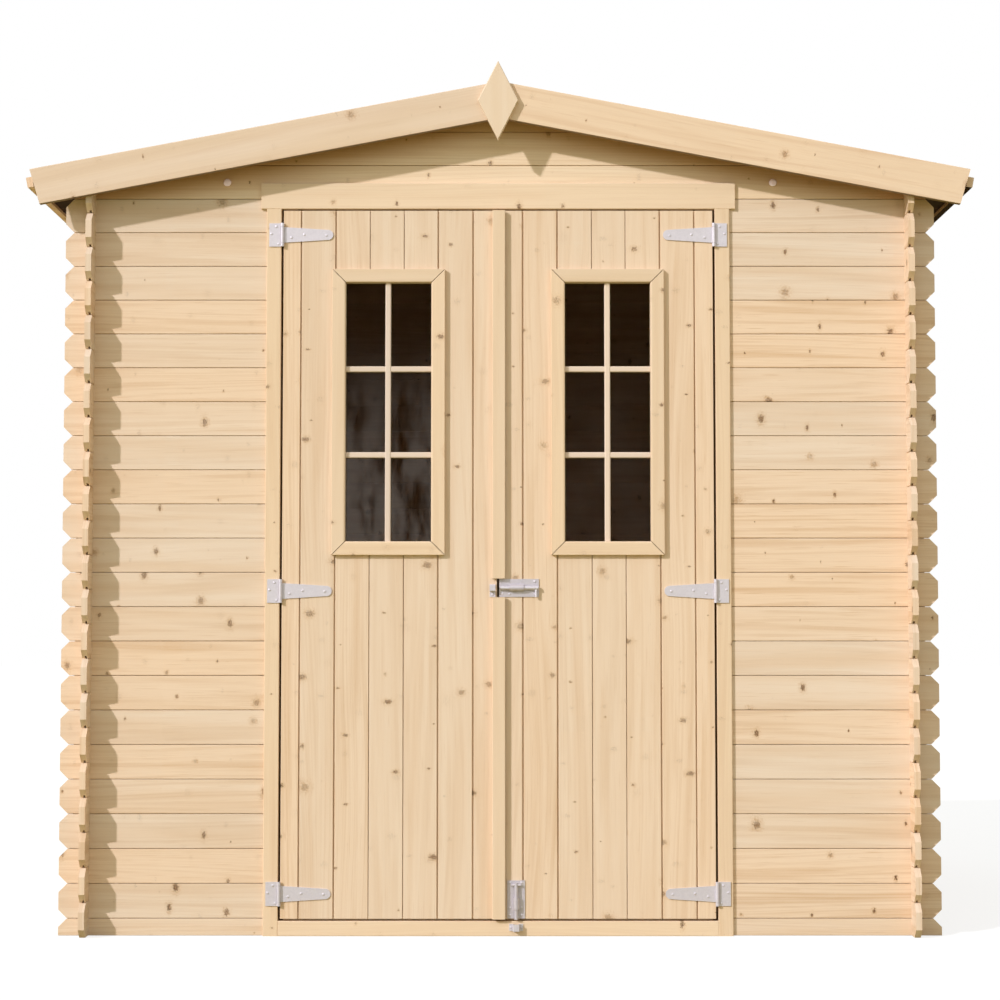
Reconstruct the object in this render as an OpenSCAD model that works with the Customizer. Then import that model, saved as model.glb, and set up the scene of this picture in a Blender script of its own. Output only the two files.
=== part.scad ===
// Wooden garden shed of interlocking wall boards, with a low gable roof,
// a glazed double door on strap hinges and a diamond at the peak.
// Millimetres, +Z up, the front faces -Y.

/* [Walls] */
// Outside width over the side walls
wall_w = 2174; // [1900:1:2400]
// Outside depth over the front and back walls
wall_d = 1890; // [1400:1:2600]
// Thickness of the wall boards
board_t = 16; // [14:1:20]
// Height of one wall board
board_h = 90; // [84:1:96]
// Whole boards in the front wall below the gable, above the half board at the ground
board_rows = 21; // [20:1:22]
// How far the board ends pass the wall that they cross
log_out = 63; // [50:1:80]
// Depth of the V groove at a board joint
groove = 2.5; // [1:0.5:4]

/* [Roof] */
// Slope of the roof in degrees
roof_angle = 10.7; // [9:0.1:13]
// Thickness of the roof boards
roof_t = 16; // [14:1:22]
// Length of one roof slope
roof_len = 1250; // [1230:1:1320]
// Roof's underside above the gable's lowest joint, at the side wall's outer face
eave_up = 57; // [50:1:70]
// How far the roof boards pass the front and back walls
roof_out = 66; // [64:1:90]
// Width of the fascia boards
fascia_w = 96; // [80:1:110]
// Thickness of the fascia boards
fascia_t = 18; // [14:1:24]
// How far the fascia stands above the roof boards
fascia_rise = 17; // [4:1:20]
// How much shorter the fascia's lower edge is, past a square cut
fascia_cut = 10; // [0:1:30]
// Width of the batten along the eaves
batten_w = 27; // [20:1:40]
// Thickness of the batten along the eaves
batten_t = 16; // [10:1:22]
// Width of the purlins
purlin_w = 40; // [30:1:60]
// Height of the purlins
purlin_h = 140; // [100:1:160]
// Distance of the side purlins from the middle
purlin_x = 720; // [500:1:800]
// Play between the roof boards and what touches them
roof_play = 0.05; // [0.02:0.01:0.2]

/* [Diamond at the peak] */
// Width of the diamond
diamond_w = 106; // [80:1:140]
// Height of the diamond
diamond_h = 209; // [160:1:260]
// Thickness of the diamond
diamond_t = 16; // [10:1:24]
// Middle of the diamond below the fascia's peak
diamond_drop = 54; // [40:1:60]

/* [Door frame] */
// Middle of the doorway, off the middle of the wall
door_x = -5; // [-60:1:60]
// Clear width between the jambs
opening_w = 1146; // [1000:1:1250]
// Width of a jamb
jamb_w = 39; // [30:1:60]
// Depth of the door frame, front to back
frame_d = 39; // [34:1:60]
// How far the door frame stands proud of the wall
frame_out = 9; // [6:1:14]
// Height of the lintel's face
lintel_h = 69; // [60:1:90]
// How far the lintel passes the jambs on each side
lintel_over = 15; // [5:1:40]
// How far the lintel hangs below the gable's lowest joint
lintel_drop = 28; // [20:1:40]
// Height of the sill
sill_h = 39; // [36:1:60]
// How far the door stops reach into the doorway
stop_w = 12; // [8:1:16]
// Room between the door leaves and the stops behind them
stop_room = 5; // [5:0.5:8]

/* [Door leaves] */
// Gap around and between the door leaves
leaf_gap = 6; // [5:0.5:8]
// Thickness of the door boards
leaf_t = 16; // [14:1:22]
// Width of one door board
door_board = 90; // [70:1:110]
// Width of the first door board, beside the hinges
door_first = 49; // [30:1:80]
// Width of the ledges behind the door boards
ledge_w = 90; // [60:1:110]
// Thickness of the ledges behind the door boards
ledge_t = 16; // [12:1:22]
// Distance of the ledges' ends from the leaf's edges
ledge_in = 30; // [20:1:60]
// How far the cover strip reaches over its own leaf, from the middle
strip_own = 15; // [12:1:30]
// How far the cover strip reaches over the other leaf, from the middle
strip_lap = 19; // [10:1:19]
// Thickness of the cover strip
strip_t = 15; // [12:1:20]
// Room between the cover strip and the other leaf
strip_room = 5; // [5:0.5:7]

/* [Windows] */
// Width over the window frame
win_w = 297; // [240:1:310]
// Height over the window frame
win_h = 755; // [600:1:770]
// Window frame's edge from the leaf's free edge
win_in = 137; // [100:1:140]
// Window frame's top below the leaf's top
win_drop = 156; // [150:1:240]
// Width of the window frame's bars
win_bar = 36; // [28:1:46]
// How far the window frame stands proud of the leaf
win_out = 13; // [8:1:20]
// How far the window frame covers the opening's edge
win_cover = 12; // [6:1:16]
// Thickness of the glass
glass_t = 4; // [3:0.5:6]

/* [Hinges] */
// Height of the plate on the jamb
hinge_h = 62; // [56:1:80]
// Width of the plate on the jamb, from the pin
hinge_w = 35; // [24:1:38]
// Length of the strap, from the pin
strap_len = 134; // [110:1:150]
// Height of the strap beside the pin
strap_root = 42; // [36:1:46]
// Height of the strap at its round tip
strap_tip = 27; // [20:1:32]
// Thickness of the plates and straps
hinge_t = 3; // [2:0.5:3.5]
// Radius of the hinge barrel
barrel_r = 5; // [4.5:0.1:5.5]
// Radius of the hinge pin
pin_r = 2.5; // [2:0.1:3]
// Room between the barrel and the plane of the leaf's face
barrel_off = 1; // [0.5:0.1:1.5]
// Clearance between the strap's knuckle, the pin and the plate
hinge_clear = 0.6; // [0.4:0.1:0.8]
// Top and bottom hinge pins' middles from the leaf's top and bottom
hinge_in = 64; // [60:1:100]
// Middle hinge above the leaf's bottom
hinge_mid = 851; // [700:1:870]

/* [Bolts] */
// Thickness of the bolts' plates
plate_t = 2.5; // [1.5:0.5:3]
// Radius of the sliding rods
rod_r = 5.2; // [4:0.1:6]
// Clearance of a rod in its housing
rod_clear = 0.8; // [0.5:0.1:1]
// Clearance of a rod in its keeper
keeper_clear = 1.4; // [1:0.1:2]
// Wall of the housings around the rods
housing_wall = 2.5; // [2:0.1:4]
// Travel of the sliding rods
bolt_travel = 28; // [24:1:30]
// Height of the latch above the leaf's bottom
latch_up = 859; // [700:1:870]
// Height of the latch plate
latch_h = 47; // [40:1:60]
// Length of the latch plate
latch_w = 104; // [100:1:120]
// Length of the latch housing
latch_housing = 37; // [28:1:40]
// Start of the latch housing along its plate
latch_start = 27; // [20:1:28]
// Length of the latch keeper
keeper_w = 15; // [12:1:16]
// Latch keeper's edge from the leaf's free edge
keeper_in = 4; // [3:1:8]
// Width of the bottom bolt's plate
foot_w = 46; // [40:1:60]
// Height of the bottom bolt's plate
foot_h = 98; // [90:1:110]
// Edge of the bottom bolt's plate, from the middle of the doors
foot_in = 24; // [24:1:40]
// Height of the bottom bolt's housing
foot_housing = 30; // [20:1:34]
// Start of the bottom bolt's housing above the plate's foot
foot_start = 24; // [20:1:28]
// Height of the keeper on the sill
sill_keeper_h = 18; // [14:1:20]
// Keeper's top below the sill's top
sill_keeper_drop = 7; // [5:1:10]
// Half width of the rods' handles
handle_w = 12; // [8:1:14]
// Radius of the rods' handles
handle_r = 3.6; // [3:0.1:4]
// How far the rods pass their handles
rod_past = 2; // [1:0.5:3]
// Room between a handle and its housing at the end of the travel
handle_room = 1; // [0.5:0.5:2]
// Room around the bolts' plates, at the cover strip and at the leaf's foot
plate_room = 1; // [0.5:0.5:2]
// Bottom bolt's tip above the foot of its keeper when it is shut
tip_up = 2; // [0:0.5:4]

/* [Hidden] */
$fn = 48;
wood = [0.91, 0.80, 0.64];
wood_pale = [0.93, 0.83, 0.69];
zinc = [0.80, 0.79, 0.77];
glass_dark = [0.10, 0.07, 0.05];

// Quarter of a board's height: the cut at a board end and the depth of a corner notch
notch = board_h / 4;
half_board = board_h / 2;
// Faces of the walls: the walls' middle sits behind the origin by half the diamond
mid_y = diamond_t / 2;
front_y = mid_y - wall_d / 2;
back_y = mid_y + wall_d / 2;
side_x = wall_w / 2;
inner_x = side_x - board_t;
end_x = side_x + log_out;
end_front = front_y - log_out;
end_back = back_y + log_out;
// Joints between the boards: the side walls' lie half a board from the front wall's
gable_z = board_h * board_rows + half_board;
front_joints = [for (i = [0 : board_rows - 1]) half_board + board_h * i];
side_joints = [for (i = [1 : board_rows]) board_h * i];
gable_joints = [gable_z + board_h, gable_z + 2 * board_h];

// Roof lines, at distance x from the middle
rise = tan(roof_angle);
ridge_under = gable_z + eave_up + side_x * rise;
ridge_z = ridge_under + roof_play + roof_t / cos(roof_angle);
peak_z = ridge_z + fascia_rise / cos(roof_angle);
function under(x) = ridge_under - abs(x) * rise;
// Point on a roof slope: u along it from the ridge, v square to it above the boards
function on_slope(u, v) =
    [u * cos(roof_angle) + v * sin(roof_angle), ridge_z - u * sin(roof_angle) + v * cos(roof_angle)];
// Point above or below the ridge where a line at height v over the boards meets the middle
function at_ridge(v) = [0, ridge_z + v / cos(roof_angle)];
fascia_low = fascia_rise - fascia_w;

// Door frame and leaves; heights above the ground, widths from the doorway's middle
face_y = front_y - frame_out;
frame_half = opening_w / 2;
jamb_out = frame_half + jamb_w;
lintel_z = gable_z - lintel_drop;
// Door stops, along the back of the door frame
stop_y = face_y + leaf_t + stop_room;
stop_t = frame_d - leaf_t - stop_room;
stop_half = frame_half - stop_w;
// Door leaves, inside the gap around them
leaf_lo = sill_h + leaf_gap;
leaf_hi = lintel_z - leaf_gap;
leaf_h = leaf_hi - leaf_lo;
leaf_near = leaf_gap / 2;
leaf_far = frame_half - leaf_gap;
leaf_w = leaf_far - leaf_near;
// Joints of the door boards, counted from the hinge edge
leaf_joints = [for (x = [leaf_far - door_first : -door_board : leaf_near + groove]) x];
win_lo = leaf_hi - win_drop - win_h;
win_near = leaf_near + win_in;
hole_in = win_bar - win_cover;
ledge_y = face_y + leaf_t;

// Hinges: the pin stands in front of the gap beside the jamb
pin_x = frame_half - leaf_gap / 2;
pin_out = barrel_r + barrel_off;
hinge_z = [leaf_lo + hinge_in, leaf_lo + hinge_mid, leaf_hi - hinge_in];

// Bolts on the right leaf, with the rods drawn back
rod_y = face_y - plate_t - rod_r - rod_clear;
housing_r = rod_r + rod_clear + housing_wall;
loop_in = rod_r + keeper_clear;
loop_out = loop_in + housing_wall;
latch_z = leaf_lo + latch_up;
latch_far = leaf_near + latch_start + latch_housing;
keeper_x = -leaf_near - keeper_in - keeper_w;
latch_tip = keeper_x + bolt_travel;
latch_grip = latch_far + bolt_travel + handle_r + handle_room;
strip_cut = latch_h / 2 + plate_room;
foot_x = foot_in + foot_w / 2;
foot_z = leaf_lo + plate_room;
foot_top = foot_z + foot_start + foot_housing;
keeper_top = sill_h - sill_keeper_drop;
foot_tip = keeper_top - sill_keeper_h + tip_up + bolt_travel;
foot_grip = foot_top + bolt_travel + handle_r + handle_room;

// Outline in X and Z, given a depth from y0 backwards
module across(y0, depth) {
    translate([0, y0 + depth, 0])
        rotate([90, 0, 0])
            linear_extrude(depth)
                children();
}

// Outline in Y and Z, given a width from x0 to the right
module along(x0, width) {
    translate([x0, 0, 0])
        rotate([90, 0, 90])
            linear_extrude(width)
                children();
}

// Children as drawn for the right half, or mirrored for the left half
module half(side) {
    if (side < 0)
        mirror([1, 0, 0])
            children();
    else
        children();
}

// Children placed from the middle of the doorway
module at_door(side) {
    translate([door_x, 0, 0])
        half(side)
            children();
}

// Section of boards between faces a and b, from lo to hi, with a V groove on both faces at
// each joint; foot and head give the half grooves at the lower and upper edge
function boards(a, b, lo, hi, joints, foot, head) =
    let (s = sign(b - a))
    concat(
        foot > 0 ? [[a + s * foot, lo], [a, lo + foot]] : [[a, lo]],
        [for (j = joints) each [[a, j - groove], [a + s * groove, j], [a, j + groove]]],
        head > 0 ? [[a, hi - head], [a + s * head, hi], [b - s * head, hi], [b, hi - head]]
            : [[a, hi], [b, hi]],
        [for (i = [len(joints) - 1 : -1 : 0])
            each [[b, joints[i] + groove], [b - s * groove, joints[i]], [b, joints[i] - groove]]],
        foot > 0 ? [[b, lo + foot], [b - s * foot, lo]] : [[b, lo]]);

// Board ends at e, cut off at 45 degrees on both sides of each joint; s points outwards
function board_ends(e, s, joints) =
    [for (j = joints) each [[e, j - notch], [e - s * notch, j], [e, j + notch]]];

function swapped(points) = [for (p = points) [p[1], p[0]]];
function backwards(points) = [for (i = [len(points) - 1 : -1 : 0]) points[i]];

// Notches where the side wall's boards pass through a front or back wall
module side_crossings(y0) {
    for (j = [0 : board_rows], s = [-1, 1])
        translate([s > 0 ? inner_x : -side_x, y0, half_board + board_h * j - notch])
            cube([board_t, board_t, half_board]);
}

// Notches where the front and back walls' boards pass through a side wall
module end_crossings(x0) {
    for (i = [0 : board_rows + 1], y0 = [front_y, back_y - board_t])
        translate([x0, y0, board_h * i - notch])
            cube([board_t, board_t, half_board]);
}

// Part of a front or back wall under the gable, from its board ends to x1
module front_boards(y0, x1) {
    difference() {
        intersection() {
            along(-end_x, end_x + x1)
                polygon(boards(y0, y0 + board_t, 0, gable_z, front_joints, 0, groove));
            across(y0, board_t)
                polygon(concat(
                    [[x1, 0], [-end_x, 0]],
                    board_ends(-end_x, -1, front_joints),
                    [[-end_x, gable_z - notch], [notch - end_x, gable_z], [x1, gable_z]]));
        }
        side_crossings(y0);
    }
}

// Triangle of boards between the walls and the roof; the lowest board has cut ends
module gable_boards(y0) {
    difference() {
        intersection() {
            along(-end_x, 2 * end_x)
                polygon(boards(y0, y0 + board_t, gable_z, ridge_under, gable_joints, groove, 0));
            across(y0, board_t)
                polygon([[notch - end_x, gable_z], [-end_x, gable_z + notch], [-end_x, under(end_x)],
                    [0, ridge_under],
                    [end_x, under(end_x)], [end_x, gable_z + notch], [end_x - notch, gable_z]]);
        }
        side_crossings(y0);
    }
}

// Side wall for the right half, its top cut to the roof's slope
module side_boards() {
    section = boards(side_x, inner_x, 0, under(side_x), side_joints, 0, 0);
    top = [for (p = section) p == [inner_x, under(side_x)] ? [inner_x, under(inner_x)] : p];
    difference() {
        intersection() {
            across(end_front, end_back - end_front)
                polygon(top);
            along(inner_x, board_t)
                polygon(concat(
                    [[end_front + notch, 0], [end_front, notch]],
                    board_ends(end_front, -1, side_joints),
                    [[end_front, ridge_under], [end_back, ridge_under]],
                    backwards(board_ends(end_back, 1, side_joints)),
                    [[end_back, notch], [end_back - notch, 0]]));
        }
        end_crossings(inner_x);
    }
}

module front_wall_left() {
    color(wood)
        front_boards(front_y, door_x - jamb_out);
}

module front_wall_right() {
    color(wood)
        mirror([1, 0, 0])
            front_boards(front_y, -door_x - jamb_out);
}

module front_gable() {
    color(wood)
        gable_boards(front_y);
}

module back_wall() {
    y0 = back_y - board_t;
    color(wood)
        difference() {
            intersection() {
                along(-end_x, 2 * end_x)
                    polygon(boards(y0, back_y, 0, gable_z, front_joints, 0, groove));
                across(y0, board_t)
                    polygon(concat(
                        [[-end_x, 0]],
                        board_ends(-end_x, -1, front_joints),
                        [[-end_x, gable_z - notch], [notch - end_x, gable_z]],
                        [[end_x - notch, gable_z], [end_x, gable_z - notch]],
                        backwards(board_ends(end_x, 1, front_joints)),
                        [[end_x, 0]]));
            }
            side_crossings(y0);
        }
}

module back_gable() {
    color(wood)
        gable_boards(back_y - board_t);
}

module left_wall() {
    color(wood)
        half(-1)
            side_boards();
}

module right_wall() {
    color(wood)
        half(1)
            side_boards();
}

// Purlins between the gables, cut to the roof's underside
module ridge_purlin() {
    w = purlin_w / 2;
    color(wood)
        across(front_y + board_t, wall_d - 2 * board_t)
            polygon([[-w, ridge_under - purlin_h], [w, ridge_under - purlin_h],
                [w, under(w)], [0, ridge_under], [-w, under(w)]]);
}

module side_purlin() {
    x0 = purlin_x - purlin_w / 2;
    x1 = purlin_x + purlin_w / 2;
    foot = under(x1) - purlin_h;
    across(front_y + board_t, wall_d - 2 * board_t)
        polygon([[x0, foot], [x1, foot], [x1, under(x1)], [x0, under(x0)]]);
}

module left_purlin() {
    color(wood)
        half(-1)
            side_purlin();
}

module right_purlin() {
    color(wood)
        half(1)
            side_purlin();
}

// One slope of roof boards
module roof_slope() {
    across(front_y - roof_out, wall_d + 2 * roof_out)
        polygon([at_ridge(0), on_slope(roof_len, 0), on_slope(roof_len, -roof_t), at_ridge(-roof_t)]);
}

module roof_left() {
    color(wood_pale)
        half(-1)
            roof_slope();
}

module roof_right() {
    color(wood_pale)
        half(1)
            roof_slope();
}

// Board over the ends of the roof boards, from y0 backwards
module fascia(y0) {
    across(y0, fascia_t)
        polygon([at_ridge(fascia_rise), on_slope(roof_len, fascia_rise),
            on_slope(roof_len - fascia_cut, fascia_low), at_ridge(fascia_low)]);
}

module front_fascia_left() {
    color(wood_pale)
        half(-1)
            fascia(front_y - roof_out - fascia_t);
}

module front_fascia_right() {
    color(wood_pale)
        half(1)
            fascia(front_y - roof_out - fascia_t);
}

module back_fascia_left() {
    color(wood_pale)
        half(-1)
            fascia(back_y + roof_out);
}

module back_fascia_right() {
    color(wood_pale)
        half(1)
            fascia(back_y + roof_out);
}

// Batten on the lower ends of the roof boards, between the fascias
module eave_batten() {
    u0 = roof_len + roof_play;
    u1 = u0 + batten_t;
    across(front_y - roof_out, wall_d + 2 * roof_out)
        polygon([on_slope(u0, 0), on_slope(u1, 0), on_slope(u1, -batten_w), on_slope(u0, -batten_w)]);
}

module eave_batten_left() {
    color(wood)
        half(-1)
            eave_batten();
}

module eave_batten_right() {
    color(wood)
        half(1)
            eave_batten();
}

module diamond() {
    z = peak_z - diamond_drop;
    color(wood_pale)
        translate([door_x, 0, 0])
            across(front_y - roof_out - fascia_t - diamond_t, diamond_t)
                polygon([[0, z - diamond_h / 2], [diamond_w / 2, z],
                    [0, z + diamond_h / 2], [-diamond_w / 2, z]]);
}

// Post beside the doorway, on the ground and up to the lintel, with its door stop
module jamb() {
    translate([frame_half, face_y, 0])
        cube([jamb_w, frame_d, lintel_z]);
    translate([stop_half, stop_y, sill_h])
        cube([stop_w + jamb_w, stop_t, lintel_z - sill_h]);
}

module door_jamb_left() {
    color(wood_pale)
        at_door(-1)
            jamb();
}

module door_jamb_right() {
    color(wood_pale)
        at_door(1)
            jamb();
}

// The lintel's face laps the wall; behind it the lintel fills the doorway's head, down to its stop
module door_lintel() {
    color(wood_pale)
        at_door(1) {
            translate([-jamb_out - lintel_over, face_y, lintel_z])
                cube([2 * (jamb_out + lintel_over), frame_out, lintel_h]);
            translate([-jamb_out, face_y, lintel_z])
                cube([2 * jamb_out, frame_d, lintel_drop]);
            translate([-stop_half, stop_y, lintel_z - stop_w])
                cube([2 * stop_half, stop_t, stop_w + lintel_drop]);
        }
}

module door_sill() {
    color(wood_pale)
        at_door(1) {
            translate([-frame_half, face_y, 0])
                cube([opening_w, frame_d, sill_h]);
            translate([-stop_half, stop_y, 0])
                cube([2 * stop_half, stop_t, sill_h + stop_w]);
        }
}

// Children drawn from a hinge's middle at the leaf's face; the left hinges are turned over,
// because a hinge is alike above and below its middle
module at_hinges(side) {
    for (z = hinge_z)
        translate([door_x + side * pin_x, face_y, z])
            rotate([0, side < 0 ? 180 : 0, 0])
                children();
}

// Plate on the jamb with the pin and its two knuckles
module hinge_plate() {
    gap_h = strap_root / 2 + hinge_clear;
    union() {
        difference() {
            translate([0, -hinge_t, -hinge_h / 2])
                cube([hinge_w, hinge_t, hinge_h]);
            translate([-barrel_r, -barrel_r, -gap_h])
                cube([2 * barrel_r + hinge_clear, 2 * barrel_r, 2 * gap_h]);
        }
        translate([0, -pin_out, 0]) {
            translate([0, 0, gap_h])
                cylinder(r = barrel_r, h = hinge_h / 2 - gap_h);
            translate([0, 0, -hinge_h / 2])
                cylinder(r = barrel_r, h = hinge_h / 2 - gap_h);
            translate([0, 0, -hinge_h / 2])
                cylinder(r = pin_r, h = hinge_h);
        }
    }
}

module hinge_plates_left() {
    color(zinc)
        at_hinges(-1)
            hinge_plate();
}

module hinge_plates_right() {
    color(zinc)
        at_hinges(1)
            hinge_plate();
}

// Strap on the leaf with its knuckle round the pin
module hinge_strap() {
    straight = strap_len - strap_tip / 2;
    difference() {
        union() {
            across(-hinge_t, hinge_t)
                polygon([[0, -strap_root / 2], [0, strap_root / 2],
                    [-straight, strap_tip / 2], [-straight, -strap_tip / 2]]);
            across(-hinge_t, hinge_t)
                translate([-straight, 0])
                    circle(r = strap_tip / 2);
            translate([0, -pin_out, -strap_root / 2])
                cylinder(r = barrel_r, h = strap_root);
        }
        translate([0, -pin_out, -hinge_h / 2])
            cylinder(r = pin_r + hinge_clear / 2, h = hinge_h);
    }
}

module left_hinge_straps() {
    color(zinc)
        at_hinges(-1)
            hinge_strap();
}

module right_hinge_straps() {
    color(zinc)
        at_hinges(1)
            hinge_strap();
}

// Boards of one leaf, with the window's opening cut through
module door_boards() {
    section = boards(face_y, face_y + leaf_t, leaf_near, leaf_far, backwards(leaf_joints), 0, 0);
    difference() {
        translate([0, 0, leaf_lo])
            linear_extrude(leaf_h)
                polygon(swapped(section));
        translate([win_near + hole_in, face_y - leaf_t, win_lo + hole_in])
            cube([win_w - 2 * hole_in, 3 * leaf_t, win_h - 2 * hole_in]);
    }
}

// Three boards across the back of a leaf, behind the hinges
module door_ledges() {
    for (z = hinge_z)
        translate([leaf_near + ledge_in, ledge_y, z - ledge_w / 2])
            cube([leaf_w - 2 * ledge_in, ledge_t, ledge_w]);
}

// Ring of the window frame between two insets from its outer edge
module window_ring(outer, inner) {
    translate([win_near, win_lo])
        difference() {
            translate([outer, outer])
                square([win_w - 2 * outer, win_h - 2 * outer]);
            translate([inner, inner])
                square([win_w - 2 * inner, win_h - 2 * inner]);
        }
}

// Bars round a window, with a lining that reaches back through the boards to the glass
module window_frame() {
    across(face_y - win_out, win_out)
        window_ring(0, win_bar);
    across(face_y - win_out, win_out + leaf_t - glass_t)
        window_ring(hole_in, win_bar);
}

// Pane in the opening behind the lining, flush with the back of the boards
module window_glass() {
    translate([win_near + hole_in, face_y + leaf_t - glass_t, win_lo + hole_in])
        cube([win_w - 2 * hole_in, glass_t, win_h - 2 * hole_in]);
}

module left_door_boards() {
    color(wood)
        at_door(-1)
            door_boards();
}

module right_door_boards() {
    color(wood)
        at_door(1)
            door_boards();
}

module left_door_ledges() {
    color(wood)
        at_door(-1)
            door_ledges();
}

module right_door_ledges() {
    color(wood)
        at_door(1)
            door_ledges();
}

module left_window_frame() {
    color(wood_pale)
        at_door(-1)
            window_frame();
}

module right_window_frame() {
    color(wood_pale)
        at_door(1)
            window_frame();
}

module left_window_glass() {
    color(glass_dark)
        at_door(-1)
            window_glass();
}

module right_window_glass() {
    color(glass_dark)
        at_door(1)
            window_glass();
}

// Strip on the left leaf over the gap, parted at the latch
module cover_strip() {
    color(wood_pale)
        at_door(1)
            difference() {
                translate([-strip_own, face_y - strip_t, leaf_lo])
                    cube([strip_own + strip_lap, strip_t, leaf_h]);
                translate([-leaf_near, face_y - strip_room, leaf_lo - strip_t])
                    cube([strip_own + strip_lap, 2 * strip_room, leaf_h + 2 * strip_t]);
                translate([-2 * strip_own, face_y - 2 * strip_t, latch_z - strip_cut])
                    cube([2 * (strip_own + strip_lap), 3 * strip_t, 2 * strip_cut]);
            }
}

// Round housing for a rod along Z, on a face at y = 0, from z = 0 upwards
module housing(h) {
    difference() {
        union() {
            translate([0, rod_y - face_y, 0])
                cylinder(r = housing_r, h = h);
            translate([-housing_r, rod_y - face_y, 0])
                cube([2 * housing_r, face_y - rod_y, h]);
        }
        translate([0, rod_y - face_y, -h])
            cylinder(r = rod_r + rod_clear, h = 3 * h);
    }
}

// Bent loop over a rod along Z, on a face at y = 0, from z = 0 upwards
module loop(h) {
    front = rod_y - face_y - loop_in;
    difference() {
        union() {
            translate([-loop_out, front, 0])
                cube([2 * loop_out, -front, h]);
            translate([-loop_in, front - housing_wall, 0])
                cube([2 * loop_in, housing_wall, h]);
            for (s = [-1, 1])
                translate([s * loop_in, front, 0])
                    cylinder(r = housing_wall, h = h);
        }
        translate([-loop_in, front, -h])
            cube([2 * loop_in, -2 * front, 3 * h]);
    }
}

// Turns a housing's or rod's Z axis to +X
module lying() {
    rotate([0, 90, 0])
        children();
}

module latch_plate() {
    color(zinc)
        at_door(1) {
            translate([leaf_near, face_y - plate_t, latch_z - latch_h / 2])
                cube([latch_w, plate_t, latch_h]);
            translate([leaf_near + latch_start, face_y, latch_z])
                lying()
                    housing(latch_housing);
        }
}

// Keeper on the left leaf: a loop for the rod and a tab below it
module latch_keeper() {
    color(zinc)
        at_door(1) {
            translate([keeper_x, face_y - plate_t, latch_z - latch_h / 2])
                cube([keeper_w, plate_t, latch_h / 2 - loop_in]);
            translate([keeper_x, face_y, latch_z])
                lying()
                    loop(keeper_w);
        }
}

// Rod of the latch with a handle hanging from its far end
module latch_bolt() {
    color(zinc)
        at_door(1) {
            translate([latch_tip, rod_y, latch_z])
                lying()
                    cylinder(r = rod_r, h = latch_grip + handle_r + rod_past - latch_tip);
            translate([latch_grip, rod_y, latch_z - 2 * handle_w])
                cylinder(r = handle_r, h = 2 * handle_w);
        }
}

module bottom_bolt_plate() {
    color(zinc)
        at_door(1) {
            translate([foot_in, face_y - plate_t, foot_z])
                cube([foot_w, plate_t, foot_h]);
            translate([foot_x, face_y, foot_z + foot_start])
                housing(foot_housing);
        }
}

// Keeper on the sill: a loop for the rod between two tabs
module sill_keeper() {
    color(zinc)
        at_door(1)
            translate([foot_x, face_y, keeper_top - sill_keeper_h]) {
                loop(sill_keeper_h);
                for (s = [-1, 1])
                    translate([s > 0 ? loop_out : -2 * loop_out, -plate_t, 0])
                        cube([loop_out, plate_t, sill_keeper_h]);
            }
}

// Rod of the bottom bolt with a bar handle across its top
module bottom_bolt() {
    color(zinc)
        at_door(1) {
            translate([foot_x, rod_y, foot_tip])
                cylinder(r = rod_r, h = foot_grip + handle_r + rod_past - foot_tip);
            translate([foot_x - handle_w, rod_y, foot_grip])
                lying()
                    cylinder(r = handle_r, h = 2 * handle_w);
        }
}

front_wall_left();
front_wall_right();
front_gable();
back_wall();
back_gable();
left_wall();
right_wall();
ridge_purlin();
left_purlin();
right_purlin();
roof_left();
roof_right();
front_fascia_left();
front_fascia_right();
back_fascia_left();
back_fascia_right();
eave_batten_left();
eave_batten_right();
diamond();
door_jamb_left();
door_jamb_right();
door_lintel();
door_sill();
hinge_plates_left();
hinge_plates_right();
sill_keeper();
left_door_boards();
left_door_ledges();
left_window_frame();
left_window_glass();
cover_strip();
left_hinge_straps();
latch_keeper();
right_door_boards();
right_door_ledges();
right_window_frame();
right_window_glass();
right_hinge_straps();
latch_plate();
bottom_bolt_plate();
latch_bolt();
bottom_bolt();
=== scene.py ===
import math
import bpy
import numpy as np
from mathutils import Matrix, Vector


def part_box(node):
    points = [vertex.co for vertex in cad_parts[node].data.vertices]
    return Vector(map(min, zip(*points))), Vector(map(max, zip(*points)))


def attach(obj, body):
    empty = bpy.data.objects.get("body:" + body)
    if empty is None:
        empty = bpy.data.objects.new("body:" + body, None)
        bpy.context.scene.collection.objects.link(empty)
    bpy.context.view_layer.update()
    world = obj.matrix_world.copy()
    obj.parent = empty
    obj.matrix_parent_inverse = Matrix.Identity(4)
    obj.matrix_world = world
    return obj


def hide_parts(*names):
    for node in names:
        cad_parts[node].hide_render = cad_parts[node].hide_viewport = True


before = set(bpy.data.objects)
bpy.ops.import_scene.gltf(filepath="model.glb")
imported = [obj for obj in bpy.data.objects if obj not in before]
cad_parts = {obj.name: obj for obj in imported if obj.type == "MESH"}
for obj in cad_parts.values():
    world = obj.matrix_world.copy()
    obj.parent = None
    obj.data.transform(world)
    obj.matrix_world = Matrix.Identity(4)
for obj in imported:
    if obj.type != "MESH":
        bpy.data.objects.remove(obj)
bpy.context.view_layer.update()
scene = bpy.context.scene
mm = 0.001
right, back, up = np.eye(3)
print("frame loaded:", len(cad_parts), "nodes")


# sRGB 0..255 to the linear colour that a socket takes
def tone(red, green, blue):
    share = np.array([red, green, blue]) / 255.0
    linear = np.where(share <= 0.04045, share / 12.92, ((share + 0.055) / 1.055) ** 2.4)
    return (*linear.tolist(), 1.0)


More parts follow.
